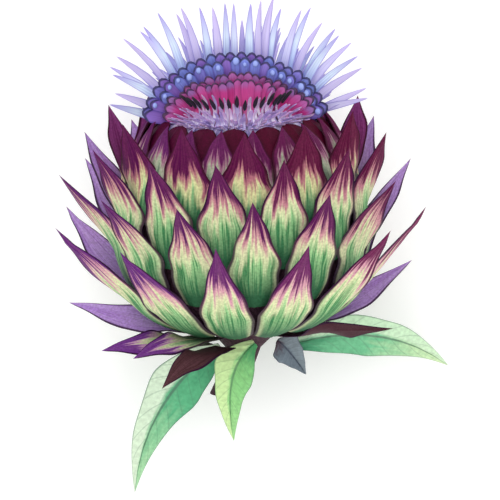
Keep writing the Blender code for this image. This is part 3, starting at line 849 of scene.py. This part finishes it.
def leaf_points(leaf, grid, chance):
    """Where the vertices of a blank go for one leaf, on a Bezier curve of its rib's points."""
    across, share, side = grid
    a, b, c, d = (np.array(p, float) for p in leaf["rib"])
    t = share[:, None]
    u = 1 - t
    line = a * u ** 3 + b * 3 * u ** 2 * t + c * 3 * u * t ** 2 + d * t ** 3
    run = (b - a) * u ** 2 + (c - b) * 2 * u * t + (d - c) * t ** 2
    run = run / np.linalg.norm(run, axis=1, keepdims=True)
    wide = np.cross(run, np.array((0, 0, 1.0)))
    wide = wide / np.linalg.norm(wide, axis=1, keepdims=True)
    angle = radians(leaf["roll"])
    wide = wide * cos(angle) + np.cross(run, wide) * sin(angle)
    up = np.cross(wide, run)
    widest = leaf["widest"]
    rest = np.clip((share - widest) / (1 - widest), 0, 1)
    low = 0.22 + 0.78 * np.sin(pi / 2 * np.clip(share / widest, 0, 1)) ** 1.3
    profile = np.where(share < widest, low, (1 - rest ** 1.7) * (1 - 0.25 * rest))
    wave = 1 + 0.06 * np.sin(share * 16 + chance * 9 + across) * np.sin(pi * share)
    half = leaf["width"] * profile * wave
    depth = LEAF_THICKNESS * (1 - 0.75 * across ** 2) * np.clip((1 - share) / 0.04, 0, 1)
    lift = LEAF_EDGE_LIFT * half * across ** 2
    # In mm: the ruffle of the edge, the groove of the midrib and the raised side veins.
    ruffle = 0.7 * np.sin(share * 21 + chance * 7 + (across > 0) * 2) * across ** 4
    ruffle = ruffle * np.sin(pi * share)
    groove = -0.55 * np.exp(-(across / 0.09) ** 2) * side * np.clip(4 * (1 - share), 0, 1)
    veins = np.sin((share - VEIN_LEAN * np.abs(across)) * SIDE_VEINS)
    veins = 0.22 * veins * (1 - across ** 2) * side
    veins = veins * np.clip((1 - share) / 0.1, 0, 1)
    height = depth * (side - 0.5) + lift + ruffle + groove + veins
    points = line + wide * (half * across)[:, None] + up * height[:, None]
    points[:, 2] = np.maximum(points[:, 2], SURFACE_LIFT + 0.5 * side)
    return points * MM


def add_leaves(finishes):
    """The four leaves on the stub."""
    blank = blade_blank("leaf_blank", 20, 44)
    grid = blank_grid(blank)
    for leaf in LEAVES:
        chance = dice.random()
        piece = shape_copy(blank, f"{leaf['name']}_blade", leaf_points(leaf, grid, chance),
                           across=grid[0], along=grid[1], chance=chance)
        close_up(piece, finishes[leaf["name"]], 60)
        settle(piece, leaf["slot"], leaf["name"])
    bpy.data.objects.remove(blank, do_unlink=True)


# ---------------- heart and stem

def add_heart(finishes):
    """The stub and the heart under the bracts, extruded level by level."""
    levels = [(Vector(point), STUB_RADIUS * swell)
              for point, swell in zip(STUB_PATH[:0:-1], STUB_SWELLS)]
    for height in HEART_LEVELS:
        levels.append((Vector((0, height, 0)), float(bed_radius(np.array(height)))))
    place, radius = levels[0]
    bpy.ops.mesh.primitive_circle_add(vertices=64, radius=radius * MM, fill_type="NGON",
                                      location=(0, 0, 0), rotation=(radians(-90), 0, 0))
    body = bpy.context.object
    bpy.ops.object.transform_apply(location=True, rotation=True, scale=True)
    bpy.ops.object.mode_set(mode="EDIT")
    bpy.ops.mesh.select_all(action="SELECT")
    bpy.ops.transform.translate(value=place * MM)
    for near, far in zip(levels, levels[1:]):
        bpy.ops.mesh.extrude_region_move(
            TRANSFORM_OT_translate={"value": (far[0] - near[0]) * MM})
        size = far[1] / near[1]
        bpy.ops.transform.resize(value=(size, 1, size), center_override=far[0] * MM)
    bpy.ops.mesh.select_all(action="SELECT")
    bpy.ops.mesh.normals_make_consistent(inside=False)
    bpy.ops.object.mode_set(mode="OBJECT")
    body.name = body.data.name = "heart_and_stub"
    body.data.materials.append(finishes["stub"])
    body.data.materials.append(finishes["pith"])
    foot = min(f.center.y for f in body.data.polygons)
    for face in body.data.polygons:
        face.material_index = 1 if abs(face.center.y - foot) < 0.2 * MM else 0
    world = HEAD.copy()
    world.translation *= MM
    body.data.transform(world)
    bpy.ops.object.select_all(action="DESELECT")
    body.select_set(True)
    bpy.context.view_layer.objects.active = body
    bpy.ops.object.shade_smooth_by_angle(angle=radians(50))
    settle(body, "heart", "heart_and_stem")


# ---------------- studio

def add_studio():
    """A camera that looks straight down, a white floor, and soft light from all sides."""
    camera = bpy.data.objects.new("camera", bpy.data.cameras.new("camera"))
    camera.data.lens = LENS
    camera.data.sensor_width = SENSOR
    camera.location = CAMERA_PLACE
    bpy.context.collection.objects.link(camera)
    bpy.context.scene.camera = camera
    bpy.ops.mesh.primitive_plane_add(size=FLOOR_SIZE, location=(0, 0, 0))
    floor = bpy.context.object
    floor.name = "floor"
    # White paper, matt; its faint glow lightens the shadow on it.
    paper, _, shader = new_finish("white_paper", 0.9, 0.1)
    shader.inputs["Base Color"].default_value = linear("FCFCFC")
    shader.inputs["Emission Color"].default_value = (1, 1, 1, 1)
    shader.inputs["Emission Strength"].default_value = FLOOR_GLOW
    floor.data.materials.append(paper)
    for name, place, size, power in LAMPS:
        lamp = bpy.data.objects.new(name, bpy.data.lights.new(name, "AREA"))
        lamp.data.size = size
        lamp.data.energy = power
        lamp.location = place
        lamp.rotation_euler = (-Vector(place)).to_track_quat("-Z", "Y").to_euler()
        bpy.context.collection.objects.link(lamp)
    world = bpy.data.worlds.new("studio")
    bpy.context.scene.world = world
    world.use_nodes = True
    sky = world.node_tree.nodes["Background"]
    sky.inputs["Color"].default_value = (1, 1, 1, 1)
    sky.inputs["Strength"].default_value = 1.0
    bpy.context.scene.view_settings.view_transform = "Standard"


def make_finishes():
    """Every finish by the piece that wears it, with what it gives the eye."""
    # Bract greens: light, streak, and a darker third that is painted shade at a bract's foot; the
    # third colour of every other bract finish is painted shade too.
    greens = ("9ECF90", "468A54", "2F6040")
    lilac = ("A678CC", "C8A6E4")
    wine = "3A0A22"
    return {
        # Wine red over the upper half, above a band of cream.
        "crown_bract": bract_finish("bract_maroon", 0.56, ("520A46", "56082E"), "A65470",
                                    "DCD79E", greens, ("7A2A62", "9A4A88"), wine),
        # Fresh green, a rose blush and a short dark tip, more violet from ring to ring.
        "upper_bract": bract_finish("bract_crimson", 0.69, ("520C52", "580A36"), "B86C84",
                                    "E0E0B0", greens, lilac),
        "middle_bract": bract_finish("bract_rose", 0.74, ("521464", "560E42"), "C47E92",
                                     "E4E4B4", greens, lilac),
        "lower_bract": bract_finish("bract_green", 0.7, ("581A72", "661648"), "D08CA6",
                                    "E4E4B4", greens, lilac),
        # Paler and greyer, violet over its upper third.
        "base_bract": bract_finish("bract_violet", 0.62, ("6B2E88", "78306A"), "C98CC0",
                                   "DCDCB0", ("9CC892", "67976A", "4A6A50"), lilac),
        # Dull brown from foot to tip; on the fourth base bract this brown is a painted shadow of the
        # head on the left leaf.
        "brown_bract": bract_finish("bract_brown", 0.1, ("4A2834", "46242E"), "5C3A42",
                                    "6A5048", ("5A4A40", "463833", "382824"),
                                    ("46282E", "5C3A42")),
        # In the shade of the crown: grey-green with a mauve tip.
        "inner_bracts_mauve": bract_finish("bract_mauve", 0.6, ("5A1858", "580C3C"), "96567A",
                                           "A8AE94", ("84977E", "5E7260", "3C4636"),
                                           ("7A2A52", "9A4A78"), wine),
        # Dark wine red all over.
        "inner_bracts_maroon": bract_finish("bract_dark_maroon", 0.1, ("46042A", "480420"),
                                            "56082C", "621030", ("560C2E", "3E0820", "2C0616"),
                                            ("5C0F26", "6E1A3C"), "2A0412"),
        # Silky blue-white, violet at its foot, lilac at its tip.
        "ray": petal_finish("ray_floret", ((0.3, "8C74D0"), (0.58, "9CB0EC"), (0.8, "D6E4FA"),
                                           (1.0, "A394DC")), "8A80CC", 0.8,
                            shifts=("CDBCEC", 0.8)),
        # Violet that turns blue, with a dark line around each end like a fish scale.
        "violet": petal_finish("violet_floret", ((0.45, "B49AE2"), (0.72, "7656BC"),
                                                 (0.92, "7C88D8")), "5848A4", 0.7,
                               shifts=("965EC0", 0.7), end="2A2850"),
        # Smooth and a little shiny, so that each head shows a small light.
        "pearl": petal_finish("pollen_pearl", ((0, "96A6E8"), (1, "BECBF6")), "7C8CDC", 0.3,
                              roughness=0.25),
        # White at its foot, bright magenta above, a mauve end with a dark line.
        "magenta": petal_finish("magenta_floret", ((0.3, "F4EAFA"), (0.5, "E27CB8"),
                                                   (0.62, "CC2478"), (0.86, "C63C8C"),
                                                   (0.93, "A070B4")), "A0307A", 0.55,
                                shifts=("DA5CA8", 0.6), end="2C2440"),
        # Nearly black, dull.
        "anther": petal_finish("anther", ((0, "2C2A34"), (1, "221F28")), "1E1B24", 0.5,
                               roughness=0.5),
        # Lavender to white, with a pink end.
        "filament": petal_finish("filament", ((0.2, "A898E2"), (0.6, "F6F1FE"), (1, "E6BCE2")),
                                 "9C8ADA", 0.6, shifts=("BBAEE8", 0.7)),
        # Matt felt; emerald, yellow-green, blue-green with a pale tip, and slate grey, whose dark
        # brown-purple foot is painted shadow from the head.
        "leaf_left": leaf_finish("leaf_felt_emerald", "3A8F66", "57AC7C", "A9D8A6", "DCEBD2",
                                 "4F7460", 1),
        "leaf_centre": leaf_finish("leaf_felt_light", "55AC6C", "84C67C", "9CD68A", "CFE9A6",
                                   "5F8A62", 1),
        "leaf_right": leaf_finish("leaf_felt_green", "3A8F66", "6FBB8C", "CFE6B4", "CBE6C4",
                                  "62806C"),
        "leaf_small": leaf_finish("leaf_felt_grey", "4A3844", "66727C", "5A6670", "7A868C",
                                  "3C4250"),
        # Dark brown-purple stem skin, a painted shade for the dark gaps between the bracts, and the
        # pale cut end.
        "stub": stem_finish("stem_skin_painted_shade", "36202A", "523642", 0.9),
        "pith": stem_finish("stem_pith", "B9B58A", "D9D6AE", 0.7),
    }


finishes = make_finishes()
bract_blank = blade_blank("bract_blank", 14, 34)
add_rings(bract_blank, finishes)
add_base_bracts(bract_blank, finishes)
add_inner_lobes(bract_blank, finishes)
bpy.data.objects.remove(bract_blank, do_unlink=True)
add_florets(finishes)
add_leaves(finishes)
add_heart(finishes)
add_studio()

bpy.context.view_layer.update()
